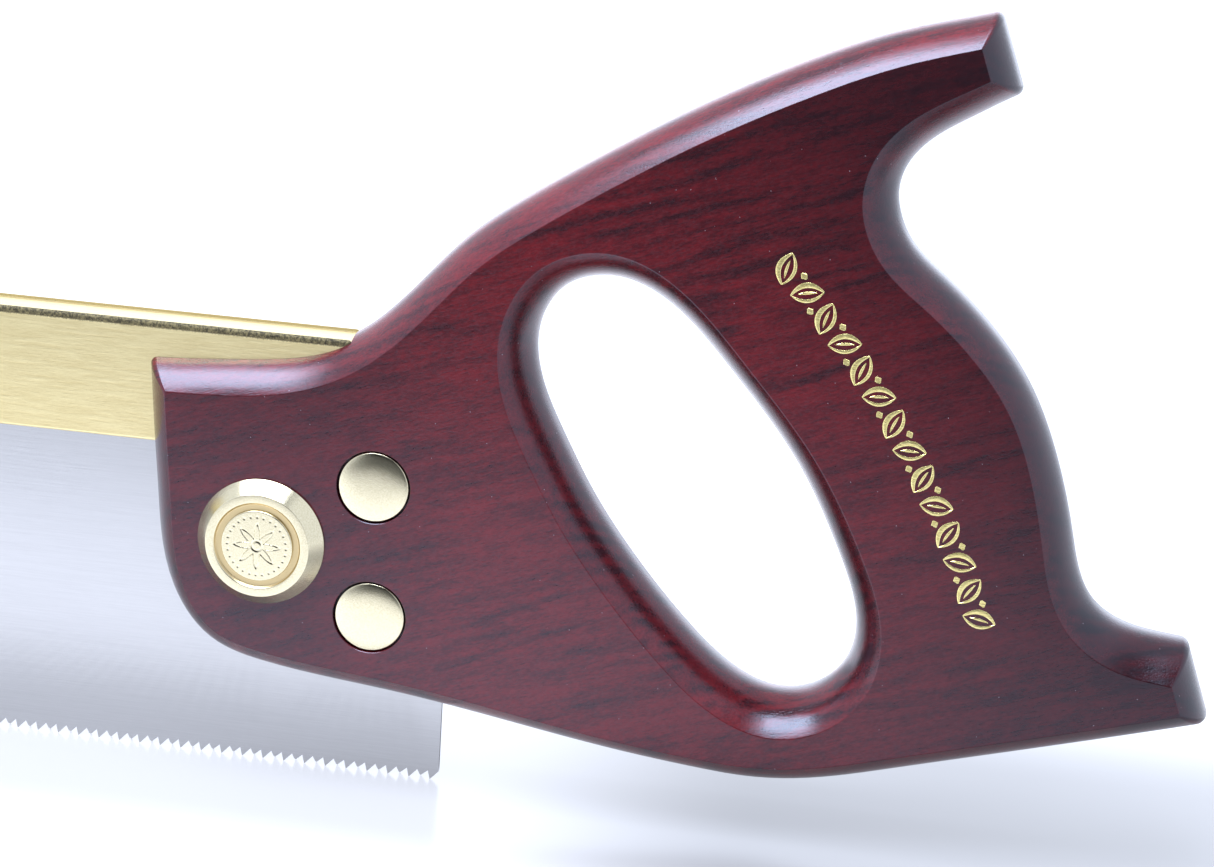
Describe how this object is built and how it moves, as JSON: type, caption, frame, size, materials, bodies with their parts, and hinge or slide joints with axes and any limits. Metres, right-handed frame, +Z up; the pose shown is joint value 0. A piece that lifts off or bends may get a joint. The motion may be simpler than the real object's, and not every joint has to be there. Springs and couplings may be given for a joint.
{
  "type": "back saw",
  "caption": "Tenon saw: toothed steel plate stiffened by a folded brass back, in a closed wooden handle held by brass nuts and slotted screws.",
  "frame": {"origin": "on the tooth line, halfway along the whole saw, in the plate's middle plane", "axes": "+X along the plate from the toe to the handle, +Y through the thickness from the medallion's side to the screws' side, +Z up from the teeth to the back"},
  "size_m": [0.3784, 0.0219, 0.136],
  "materials": {
    "plate_steel": "satin, brushed along its length",
    "back_brass": "satin, finely brushed along its length",
    "handle_wood": "dark red stain under satin lacquer",
    "nut_brass": "polished"
  },
  "bodies": {
    "root": {"blade": "plate_steel", "brass_back": "back_brass", "handle": "handle_wood", "medallion_nut": "nut_brass", "upper_nut": "nut_brass", "lower_nut": "nut_brass", "medallion_screw": "nut_brass", "upper_screw": "nut_brass", "lower_screw": "nut_brass"}
  },
  "joints": []
}
